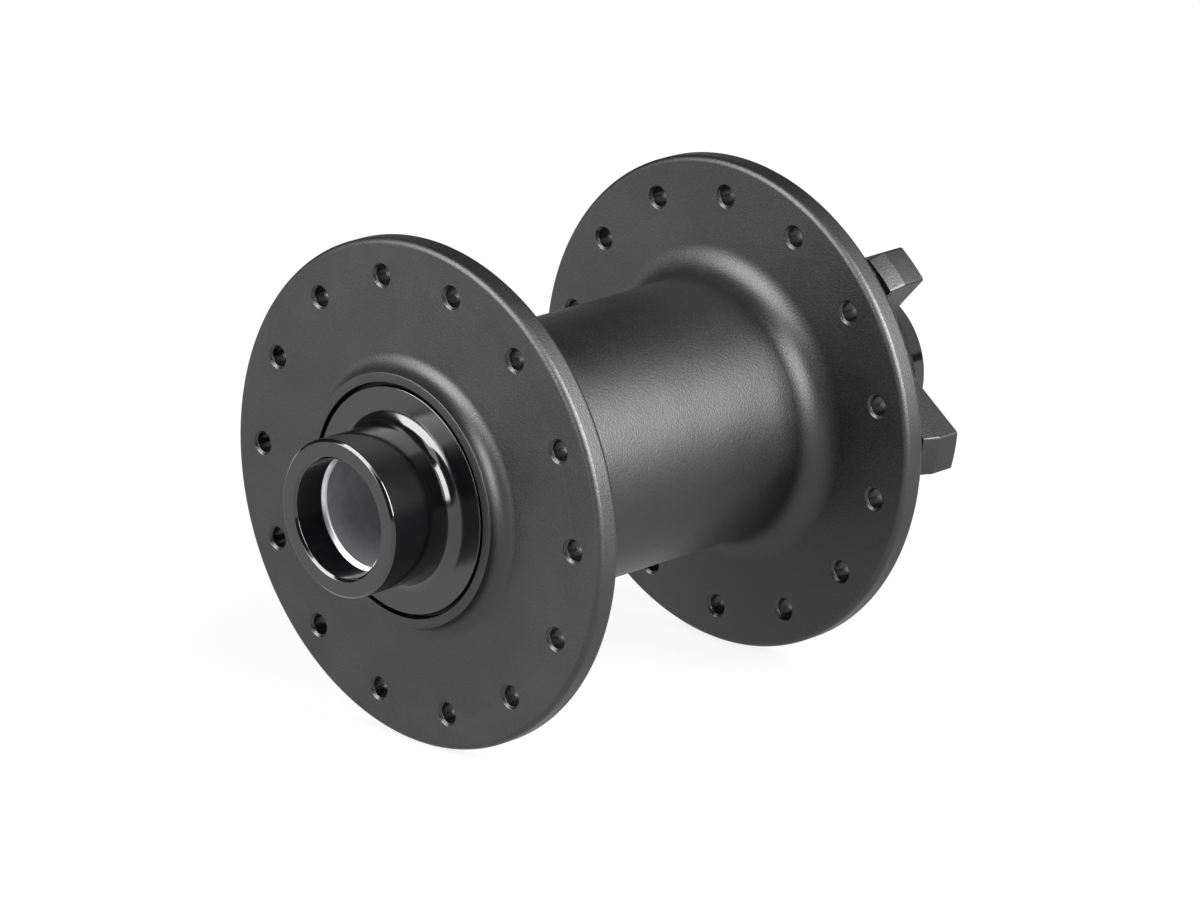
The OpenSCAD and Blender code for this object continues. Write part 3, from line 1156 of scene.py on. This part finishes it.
@dataclass
class Shell(Assembly):
    """The machined shell: barrel, two drilled spoke flanges, rotor tabs and the bearing seats."""

    segments: int = 256
    flange_width: float = 3.4
    rim_rounding: float = 0.8
    crease_radius: float = 29.0
    crease_rounding: float = 1.0
    cone_height: float = 0.4
    barrel_radius: float = 18.0
    barrel_sweep: float = 4.0
    neck_radius: float = 17.9
    lip_radius: float = 16.95
    hollow: float = 2.2
    shoulder_radius: float = 12.8
    bore_radius: float = 14.8
    shoulder_length: float = 8.0
    seat_gap: float = 0.1
    edge: float = 0.12
    seat_edge: float = 0.05
    pilot_edge: float = 0.3
    bore_edge: float = 0.3
    hole_segments: int = 40
    hole_mouth: float = 1.65
    hole_rounding: float = 0.14
    hole_foot: float = 0.1
    # Height of the sheer rim at a hole's mouth, with which the cutter crosses the face squarely
    hole_sheer: float = 0.004
    right_turn: float = -1.6
    tab_width: float = 5.8
    tab_turn: float = -12.0
    bolt_turn: float = 2.4

    def outside(self, side: Side) -> list[Corner]:
        """Draws the outside of one end.

        Args:
            side: The end.

        Returns:
            The corners from the barrel out to the end face's inner edge.
        """
        middle = abs(self.cad.mount_station(f"{side.word}_spoke_holes"))
        inner, outer = middle - self.flange_width / 2, middle + self.flange_width / 2
        rim = self.cad.reach("hub_shell")
        corners = [
            Corner(self.barrel_radius, inner, self.barrel_sweep),
            Corner(rim, inner, self.rim_rounding),
            Corner(rim, outer, self.rim_rounding),
        ]
        recess = self.cad.reach("left_dust_seal")
        if side is Side.LEFT:
            end = self.cad.far("hub_shell")
            face = self.cad.mount_station("rotor_bolts")
            pilot = self.cad.mount("rotor_pilot")["r_mm"]
            corners += [
                Corner(self.neck_radius, outer, self.hollow),
                Corner(self.neck_radius, face, self.edge),
                Corner(pilot, face, self.edge / 2),
                Corner(pilot, end, self.pilot_edge),
                Corner(recess, end, self.edge),
            ]
        else:
            end = -self.cad.near("hub_shell")
            corners += [
                Corner(self.crease_radius, outer, self.crease_rounding),
                Corner(self.lip_radius, outer + self.cone_height, self.hollow),
                Corner(self.lip_radius, end, self.edge),
                Corner(recess, end, self.edge),
            ]
        return mirrored(corners, side)

    def inside(self, side: Side) -> list[Corner]:
        """Draws the bores of one end.

        Args:
            side: The end.

        Returns:
            The corners from the recess in to the middle.
        """
        race = f"{side.word}_outer_race"
        start, end = sorted((abs(self.cad.near(race)), abs(self.cad.far(race))))
        floor = end + self.seat_gap
        recess = self.cad.reach("left_dust_seal")
        seat = self.cad.reach("left_outer_race")
        wide = start - self.shoulder_length
        corners = [
            Corner(recess, floor, self.seat_edge),
            Corner(seat, floor, self.seat_edge),
            Corner(seat, start, self.seat_edge),
            Corner(self.shoulder_radius, start, self.edge),
            Corner(self.shoulder_radius, wide, self.edge),
            Corner(self.bore_radius, wide - (self.bore_radius - self.shoulder_radius), self.bore_edge),
        ]
        return mirrored(corners, side)

    def spoke_drill(self, material: Material, station: float) -> Piece:
        """Makes the cutter of one spoke hole, with a rounded countersink on both faces.

        Args:
            material: The shell's finish.
            station: Station of the flange's middle.

        Returns:
            The cutter at angle 0.
        """
        dims = self.cad.mount("right_spoke_holes")
        hole, half = dims["hole_r_mm"], self.flange_width / 2
        sink = self.hole_mouth - hole
        # The countersink's 45 degrees turn into the face along an arc of three steps
        reach = self.hole_mouth + self.hole_rounding * math.tan(math.pi / 8)
        centre = half - self.hole_rounding - self.hole_sheer
        mouth = arc(reach, centre, self.hole_rounding, 135, 90, 15)
        upper = [Corner(hole, half - sink, self.hole_foot), *mouth, Corner(reach, half + OVER)]
        lower = [Corner(c.radius, -c.station, c.rounding) for c in reversed(upper)]
        corners = [Corner(0.0, half + OVER), Corner(0.0, -half - OVER), *lower, *upper]
        tool = self.shop.turn("drill", corners, material, self.hole_segments)
        tool.data.transform(Matrix.Translation((dims["pcd_mm"] / 2 * MM, station * MM, 0)))
        return tool

    def build(self) -> None:
        """Turns the shell, welds the tabs on, drills it and fits it."""
        shop, material = self.shop, self.fitter.materials[Slot.SHELL]
        corners = [
            *self.outside(Side.LEFT),
            *self.inside(Side.LEFT),
            *reversed(self.inside(Side.RIGHT)),
            *reversed(self.outside(Side.RIGHT)),
        ]
        shell = shop.turn("shell", corners, material, self.segments)
        bolts = self.cad.mount("rotor_bolts")
        back = self.cad.mount_station("rotor_bolts")
        tab = RotorTab(front=back - self.tab_width, back=back, neck=self.neck_radius)
        shop.cut(shell, tab.build(shop, material), Cut.WELD, bolts["count"], self.tab_turn)
        place = Vector((bolts["pcd_mm"] / 2, back - self.tab_width / 2, 0))
        tap = ThreadedHole(minor=bolts["hole_r_mm"]).build(shop, place, self.tab_width / 2)
        shop.cut(shell, tap, Cut.DRILL, bolts["count"], self.tab_turn + self.bolt_turn)
        for side in Side:
            mount = f"{side.word}_spoke_holes"
            count = self.cad.mount(mount)["count"]
            turn = self.right_turn if side is Side.RIGHT else self.right_turn + 180 / count
            drill = self.spoke_drill(material, self.cad.mount_station(mount))
            shop.cut(shell, drill, Cut.DRILL, count, turn)
        shop.polish(shell)
        self.fitter.fit(shell, "hub_shell", Slot.SHELL)


@dataclass
class AxleTube(Assembly):
    """The bare tube between the end caps, with a shoulder inside each bearing."""

    seat_radius: float = 8.5
    waist_radius: float = 9.0
    shoulder_length: float = 4.0
    mouth_chamfer: float = 0.5
    edge: float = 0.08
    waist_edge: float = 0.4
    end_edge: float = 0.3
    segments: int = 192

    def half(self, side: Side) -> list[Corner]:
        """Draws one end of the wall's section.

        Args:
            side: The end.

        Returns:
            The corners from the waist out to the mouth.
        """
        bearing = abs(self.cad.near("left_inner_race"))
        shoulder = self.cad.reach("axle_tube")
        end = self.cad.far("axle_tube")
        bore = self.cad.mount("thru_axle_bore")["r_mm"]
        corners = [
            Corner(self.waist_radius, bearing - self.shoulder_length, self.waist_edge),
            Corner(shoulder, bearing - self.shoulder_length, self.edge),
            Corner(shoulder, bearing, self.edge),
            Corner(self.seat_radius, bearing, self.edge),
            Corner(self.seat_radius, end, self.end_edge),
            Corner(bore + self.mouth_chamfer, end, self.edge),
            Corner(bore, end - self.mouth_chamfer, self.edge),
        ]
        return mirrored(corners, side)

    def build(self) -> None:
        """Turns the tube and fits it."""
        corners = [*self.half(Side.LEFT), *reversed(self.half(Side.RIGHT))]
        self.turn("tube", corners, self.segments, "axle_tube", Slot.TUBE)


@dataclass
class EndCap(Assembly):
    """A pull-off end cap with its O-ring, and the dust seal that it runs in."""

    side: Side
    seat_radius: float = 8.5
    play: float = 0.05
    base_width: float = 1.2
    base_depth: float = 10.8
    mouth_radius: float = 7.9
    hollow: float = 1.8
    chamfer: float = 0.35
    chamfer_rounding: float = 0.22
    sleeve_radius: float = 10.4
    nose_radius: float = 10.0
    nose_length: float = 0.2
    ring_width: float = 1.0
    ring_room: float = 0.3
    ring_step: float = 10.0
    lip_thickness: float = 0.35
    seal_rim: float = 1.2
    seal_rise: float = 0.4
    seal_edge: float = 0.15
    edge: float = 0.1
    fine_edge: float = 0.05
    base_edge: float = 0.12
    segments: int = 192

    def groove(self) -> tuple[float, float]:
        """Finds the middle of the O-ring's cord.

        Returns:
            Its station and its radius.
        """
        name = "left_cap_o_ring"
        middle = (self.cad.near(name) + self.cad.far(name)) / 2
        return middle, self.cad.reach(name) - self.ring_width / 2

    def outline(self) -> list[Corner]:
        """Draws the cap's section on the left.

        Returns:
            Its corners.
        """
        nose = self.cad.near("left_end_cap")
        end = self.cad.far("left_end_cap")
        base_face = end - self.base_depth
        base_back = base_face - self.base_width
        base = self.cad.reach("left_end_cap")
        stem = self.cad.mount("left_cap_stem")["r_mm"]
        socket = self.seat_radius + self.play
        stop = self.cad.far("axle_tube") + self.play
        middle, ring_radius = self.groove()
        deep = ring_radius + self.ring_width / 2
        half = (self.ring_width + self.ring_room) / 2
        lip = self.chamfer
        turn = self.chamfer_rounding
        return [
            Corner(socket, nose, self.fine_edge),
            Corner(self.nose_radius, nose, self.fine_edge),
            Corner(self.nose_radius, nose + self.nose_length),
            Corner(self.sleeve_radius, nose + self.nose_length, self.fine_edge),
            Corner(self.sleeve_radius, base_back, self.edge),
            Corner(base, base_back, self.edge),
            Corner(base, base_face, self.base_edge),
            Corner(stem, base_face, self.hollow),
            Corner(stem, end - lip, turn),
            Corner(stem - lip, end, turn),
            Corner(self.mouth_radius + lip, end, turn),
            Corner(self.mouth_radius, end - lip, turn),
            Corner(self.mouth_radius, stop, turn),
            Corner(socket, stop, self.fine_edge),
            Corner(socket, middle + half),
            Corner(deep, middle + half, self.edge),
            Corner(deep, middle - half, self.edge),
            Corner(socket, middle - half),
        ]

    def dust_seal(self) -> list[Corner]:
        """Draws the dust seal: a rubber rim and a thin lip that rubs on the cap's sleeve.

        Returns:
            The corners of its section.
        """
        near, far = self.cad.near("left_dust_seal"), self.cad.far("left_dust_seal")
        rim = self.cad.reach("left_dust_seal")
        lip = near + self.lip_thickness
        tip = self.sleeve_radius + self.play
        inner = rim - self.seal_rim
        return [
            Corner(tip, near, self.fine_edge),
            Corner(rim, near, self.edge),
            Corner(rim, far, self.edge),
            Corner(inner, far, self.seal_edge),
            Corner(inner - self.seal_rise, lip, self.seal_edge),
            Corner(tip, lip, self.edge),
        ]

    def build(self) -> None:
        """Turns the cap, the O-ring and the dust seal, and fits them."""
        word = self.side.word
        middle, ring_radius = self.groove()
        last = 360 - self.ring_step
        ring = arc(ring_radius, middle, self.ring_width / 2, 0, last, self.ring_step)
        for name, node, corners, slot in (
            ("cap", "end_cap", self.outline(), Slot.CAP),
            ("ring", "cap_o_ring", ring, Slot.O_RING),
            ("wiper", "dust_seal", self.dust_seal(), Slot.SEAL),
        ):
            section = mirrored(corners, self.side)
            self.turn(f"{word}_{name}", section, self.segments, f"{word}_{node}", slot)


@dataclass
class Bearing(Assembly):
    """A sealed cartridge bearing: two races, balls in a crown cage and a seal on each side."""

    side: Side
    bore_radius: float = 8.5
    inner_land: float = 10.1
    outer_land: float = 12.4
    pitch_radius: float = 11.25
    ball_radius: float = 1.75
    balls: int = 13
    gap: float = 0.05
    edge: float = 0.3
    seal_step: float = 12.9
    seal_step_width: float = 0.95
    seal_inset: float = 0.2
    plate: float = 0.6
    lip_thin: float = 0.15
    lip_foot: float = 0.4
    lip_root: float = 0.6
    lip_top: float = 0.9
    lip_edge: float = 0.04
    fine_edge: float = 0.05
    step_edge: float = 0.08
    land_edge: float = 0.1
    cage_half: float = 0.78
    cage_front: float = 0.9
    cage_back: float = 2.25
    cage_edge: float = 0.15
    segments: int = 144
    pocket_segments: int = 48
    ball_levels: int = 4
    ball_crease: float = 60.0

    def span(self) -> tuple[float, float, float]:
        """Inboard station, middle and outboard station of the bearing, on the left."""
        near, far = self.cad.near("left_outer_race"), self.cad.far("left_outer_race")
        return near, (near + far) / 2, far

    def inner(self) -> list[Corner]:
        """Draws the inner race, with its groove.

        Returns:
            The corners of its section.
        """
        near, middle, far = self.span()
        groove = self.ball_radius + self.gap
        half = math.degrees(math.acos((self.pitch_radius - self.inner_land) / groove))
        return [
            Corner(self.bore_radius, near, self.edge),
            Corner(self.inner_land, near, self.land_edge),
            *arc(self.pitch_radius, middle, groove, 180 + half, 180 - half),
            Corner(self.inner_land, far, self.land_edge),
            Corner(self.bore_radius, far, self.edge),
        ]

    def outer(self) -> list[Corner]:
        """Draws the outer race, with its groove and seal steps.

        Returns:
            The corners of its section.
        """
        near, middle, far = self.span()
        groove = self.ball_radius + self.gap
        half = math.degrees(math.acos((self.outer_land - self.pitch_radius) / groove))
        rim = self.cad.reach("left_outer_race")
        step = self.seal_step_width
        return [
            Corner(rim, far, self.edge),
            Corner(self.seal_step, far, self.step_edge),
            Corner(self.seal_step, far - step),
            Corner(self.outer_land, far - step, self.fine_edge),
            *arc(self.pitch_radius, middle, groove, half, -half),
            Corner(self.outer_land, near + step, self.fine_edge),
            Corner(self.seal_step, near + step),
            Corner(self.seal_step, near, self.step_edge),
            Corner(rim, near, self.edge),
        ]

    def seal(self) -> list[Corner]:
        """Draws the outboard seal, with a thin lip.

        Returns:
            The corners of its section.
        """
        top = self.span()[2] - self.seal_inset
        floor = top - self.plate
        tip = self.inner_land + self.gap
        return [
            Corner(tip, floor + self.lip_thin, self.lip_edge),
            Corner(tip + self.lip_foot, floor, self.fine_edge),
            Corner(self.seal_step, floor, self.fine_edge),
            Corner(self.seal_step, top, self.fine_edge),
            Corner(tip + self.lip_top, top, self.fine_edge),
            Corner(tip + self.lip_root, top - self.lip_thin, self.fine_edge),
            Corner(tip, top - self.lip_thin, self.lip_edge),
        ]

    def inboard(self, corners: list[Corner]) -> list[Corner]:
        """The same section turned over to the inboard side."""
        middle = self.span()[1]
        return [Corner(c.radius, 2 * middle - c.station, c.rounding) for c in corners]

    def cage(self) -> Piece:
        """Makes the crown cage: a ring behind the balls with a round pocket for each.

        Returns:
            The cage.
        """
        shop, material = self.shop, self.fitter.materials[Slot.CAGE]
        middle = self.span()[1]
        inner, outer = self.pitch_radius - self.cage_half, self.pitch_radius + self.cage_half
        corners = [
            Corner(inner, middle - self.cage_front, self.cage_edge),
            Corner(outer, middle - self.cage_front, self.cage_edge),
            Corner(outer, middle + self.cage_back, self.cage_edge),
            Corner(inner, middle + self.cage_back, self.cage_edge),
        ]
        section = mirrored(corners, self.side)
        ring = shop.turn(f"{self.side.word}_cage", section, material, self.segments)
        radius = self.ball_radius + self.gap
        start, end = inner - OVER, outer + OVER
        pocket = [Corner(0.0, start), Corner(radius, start), Corner(radius, end), Corner(0.0, end)]
        tool = shop.turn("pocket", pocket, material, self.pocket_segments)
        tool.data.transform(Matrix.Rotation(-math.pi / 2, 4, "Z"))
        tool.data.transform(Matrix.Translation((0, middle * self.side.value * MM, 0)))
        shop.cut(ring, tool, Cut.DRILL, self.balls, 0.0)
        return ring

    def ball(self) -> Piece:
        """Makes one ball in its place at angle 0.

        Returns:
            The ball.
        """
        work = bmesh.new()
        place = Vector((self.pitch_radius, self.span()[1] * self.side.value, 0)) * MM
        shift = Matrix.Translation(place)
        radius = self.ball_radius * MM
        bmesh.ops.create_icosphere(work, subdivisions=self.ball_levels, radius=radius, matrix=shift)
        return self.shop.fill("ball", work)

    def build(self) -> None:
        """Makes the bearing's six pieces and fits them."""
        shop, fitter, word = self.shop, self.fitter, self.side.word
        for name, corners, slot in (
            ("inner_race", self.inner(), Slot.RACE),
            ("outer_race", self.outer(), Slot.RACE),
            ("outboard_seal", self.seal(), Slot.SEAL),
            ("inboard_seal", self.inboard(self.seal()), Slot.SEAL),
        ):
            section = mirrored(corners, self.side)
            self.turn(f"{word}_{name}_turned", section, self.segments, f"{word}_{name}", slot)
        cage = self.cage()
        shop.polish(cage)
        fitter.fit(cage, f"{word}_ball_cage", Slot.CAGE)
        steel = fitter.materials[Slot.BALL]
        train = shop.copies(f"{word}_ball_train", self.ball(), self.balls, steel)
        shop.polish(train, self.ball_crease)
        fitter.fit(train, f"{word}_balls", Slot.BALL)


@dataclass(frozen=True)
class Softbox:
    """A rectangular studio lamp aimed at the hub.

    Azimuth runs from +X towards +Y in degrees, and sizes are in metres. An area lamp needs four
    watts for each unit of radiance and square metre.
    """

    name: str
    azimuth: float
    elevation: float
    width: float
    height: float
    radiance: float
    distance: float = 1.2
    watts: float = 4.0

    def build(self) -> None:
        """Adds the lamp."""
        lamp = bpy.data.lights.new(self.name, "AREA")
        lamp.shape = "RECTANGLE"
        lamp.size = self.width
        lamp.size_y = self.height
        lamp.energy = self.watts * self.radiance * self.width * self.height
        holder = bpy.data.objects.new(self.name, lamp)
        bpy.context.scene.collection.objects.link(holder)
        around, above = math.radians(self.azimuth), math.radians(self.elevation)
        level = Vector((math.cos(around), math.sin(around), 0)) * math.cos(above)
        away = level + Vector((0, 0, math.sin(above)))
        holder.location = away * self.distance
        holder.rotation_euler = away.to_track_quat("Z", "Y").to_euler()


@dataclass
class Studio:
    """The camera, the lamps, the floor and the surroundings.

    The camera's place comes from the photograph. Its azimuth runs from -Y towards +X in degrees and
    it aims beside the hub's middle, by millimetres across and up. The floor's size, like the lamps',
    is in metres.
    """

    sensor_width: float = 36.0
    clip_start: float = 0.01
    clip_end: float = 50.0
    focal_length: float = 199.59
    azimuth: float = 45.004
    elevation: float = 17.536
    roll: float = -0.179
    aim_right: float = -1.770
    aim_up: float = -1.912
    distance: float = 882.596
    floor_drop: float = 0.2
    floor_size: float = 2.4
    floor_glow: float = 0.95
    floor_gloss: float = 0.78
    floor_share: float = 0.9
    paper: str = "#e6e6e6"
    world_level: float = 0.05
    background: str = "#ffffff"

    def camera(self) -> None:
        """Places the camera where the photograph was taken from."""
        around, above, roll = map(math.radians, (self.azimuth, self.elevation, self.roll))
        outward = Vector((math.sin(around), -math.cos(around), 0)) * math.cos(above)
        away = outward + Vector((0, 0, math.sin(above)))
        level = Vector((math.cos(around), math.sin(around), 0))
        upright = away.cross(level)
        across = level * math.cos(roll) + upright * math.sin(roll)
        upward = upright * math.cos(roll) - level * math.sin(roll)
        place = across * self.aim_right + upward * self.aim_up + away * self.distance
        data = bpy.data.cameras.new("camera")
        data.sensor_width = self.sensor_width
        data.lens = self.focal_length
        data.clip_start = self.clip_start
        data.clip_end = self.clip_end
        holder = bpy.data.objects.new("camera", data)
        turn = Matrix((across, upward, away)).transposed().to_4x4()
        holder.matrix_world = Matrix.Translation(place * MM) @ turn
        bpy.context.scene.collection.objects.link(holder)
        bpy.context.scene.camera = holder

    def glow(self, tree: Tree) -> tuple[Node, Node]:
        """Says which rays see the white floor, and how strongly.

        Args:
            tree: The floor's tree.

        Returns:
            A node that gives 1 for the rays of the camera, of gloss and through glass, and one that
            gives the strength of the glow, which is a little lower in gloss than to the camera.
        """
        add = partial(add_node, tree)
        path = add("ShaderNodeLightPath", {})
        eye, gloss = path.outputs["Is Camera Ray"], path.outputs["Is Glossy Ray"]
        indirect = add(MATH, {0: gloss, 1: path.outputs["Is Transmission Ray"]}, operation="MAXIMUM")
        seen = add(MATH, {0: eye, 1: indirect}, operation="MAXIMUM")
        extra = self.floor_glow - self.floor_gloss
        strength = add(MATH, {0: eye, 1: extra, 2: self.floor_gloss}, operation="MULTIPLY_ADD")
        return seen, strength

    def floor(self) -> None:
        """Lays the pale floor just under the flanges. It is white to the eye and takes a soft shadow."""
        level = (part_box("hub_shell")[0].z / MM - self.floor_drop) * MM
        half = self.floor_size / 2
        mesh = bpy.data.meshes.new("floor")
        corners = [(-half, -half, level), (half, -half, level), (half, half, level), (-half, half, level)]
        mesh.from_pydata(corners, [], [(0, 1, 2, 3)])
        floor = bpy.data.objects.new("floor", mesh)
        bpy.context.scene.collection.objects.link(floor)
        tree, material = new_material("white_paper_floor")
        add = partial(add_node, tree)
        paper = add("ShaderNodeBsdfDiffuse", {"Color": linear(self.paper)})
        seen, strength = self.glow(tree)
        glow = add("ShaderNodeEmission", {"Color": linear(self.background), "Strength": strength})
        share = add(MATH, {0: seen, 1: self.floor_share}, operation="MULTIPLY")
        mixed = add("ShaderNodeMixShader", {0: share, 1: paper, 2: glow})
        add("ShaderNodeOutputMaterial", {"Surface": mixed})
        mesh.materials.append(material)

    def world(self) -> None:
        """Surrounds the hub with an even grey room that the camera sees as white."""
        world = bpy.data.worlds.new("room")
        bpy.context.scene.world = world
        world.use_nodes = True
        world.node_tree.nodes.clear()
        add = partial(add_node, world.node_tree)
        eye = add("ShaderNodeLightPath", {}).outputs["Is Camera Ray"]
        extra = 1.0 - self.world_level
        strength = add(MATH, {0: eye, 1: extra, 2: self.world_level}, operation="MULTIPLY_ADD")
        room = add("ShaderNodeBackground", {"Color": linear(self.background), "Strength": strength})
        add("ShaderNodeOutputWorld", {"Surface": room})

    def lamps(self) -> list[Softbox]:
        """The softboxes round the hub."""
        return [
            Softbox("right_strip", 21.0, 29.0, 0.3, 0.95, 30.0),
            Softbox("right_softbox", 349.0, 29.0, 0.86, 0.95, 8.0),
            Softbox("left_softbox", 247.0, 33.0, 0.95, 1.15, 7.9),
            Softbox("front_softbox", 298.0, 55.0, 0.6, 0.6, 1.6),
            Softbox("right_wall", 62.0, 32.0, 0.9, 1.1, 0.5),
            Softbox("back_wall", 125.0, 10.0, 0.6, 0.35, 0.3),
        ]

    def build(self) -> None:
        """Sets up the whole studio."""
        self.camera()
        self.floor()
        self.world()
        for lamp in self.lamps():
            lamp.build()
        bpy.context.scene.view_settings.view_transform = "Standard"


def main() -> None:
    """Builds the studio and dresses every sub-assembly of the hub."""
    logging.basicConfig(level=logging.INFO, format="%(name)s: %(message)s")
    Studio().build()
    shared = Cad(), Workshop(), Fitter()
    Shell(*shared).build()
    AxleTube(*shared).build()
    for side in Side:
        EndCap(*shared, side).build()
        Bearing(*shared, side).build()


if __name__ == "__main__":
    main()
